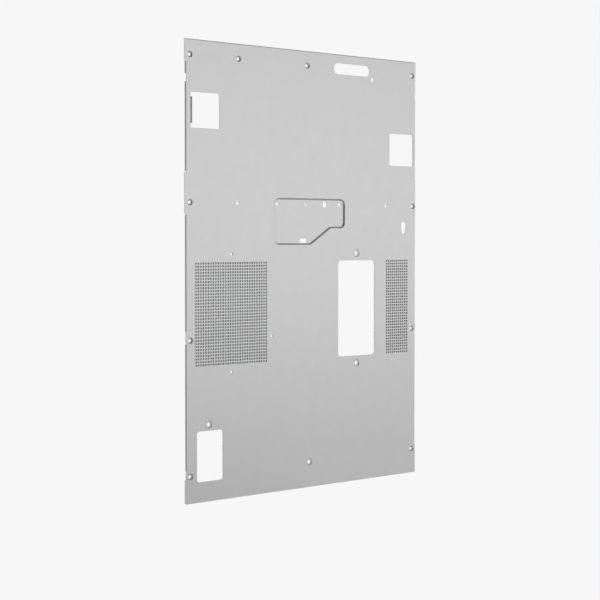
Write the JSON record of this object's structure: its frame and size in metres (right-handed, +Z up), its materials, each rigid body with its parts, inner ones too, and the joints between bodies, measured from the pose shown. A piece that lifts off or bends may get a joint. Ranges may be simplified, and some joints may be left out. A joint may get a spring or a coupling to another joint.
{
  "type": "printer rear panel",
  "caption": "Upright sheet-metal rear panel of a printer, with screw dimples, connector windows, vent fields, a stamped recess and folded edges.",
  "frame": {"origin": "middle of the four corner screw holes, on the plane of their dimples' backs, where the panel is seated", "axes": "+Z up along the panel's height, +Y from the front face to the back, +X to the right seen from the front"},
  "size_m": [0.4119, 0.0054, 0.6],
  "materials": {
    "coated_sheet": "satin"
  },
  "bodies": {
    "root": {"rear_panel": "coated_sheet"}
  },
  "joints": []
}
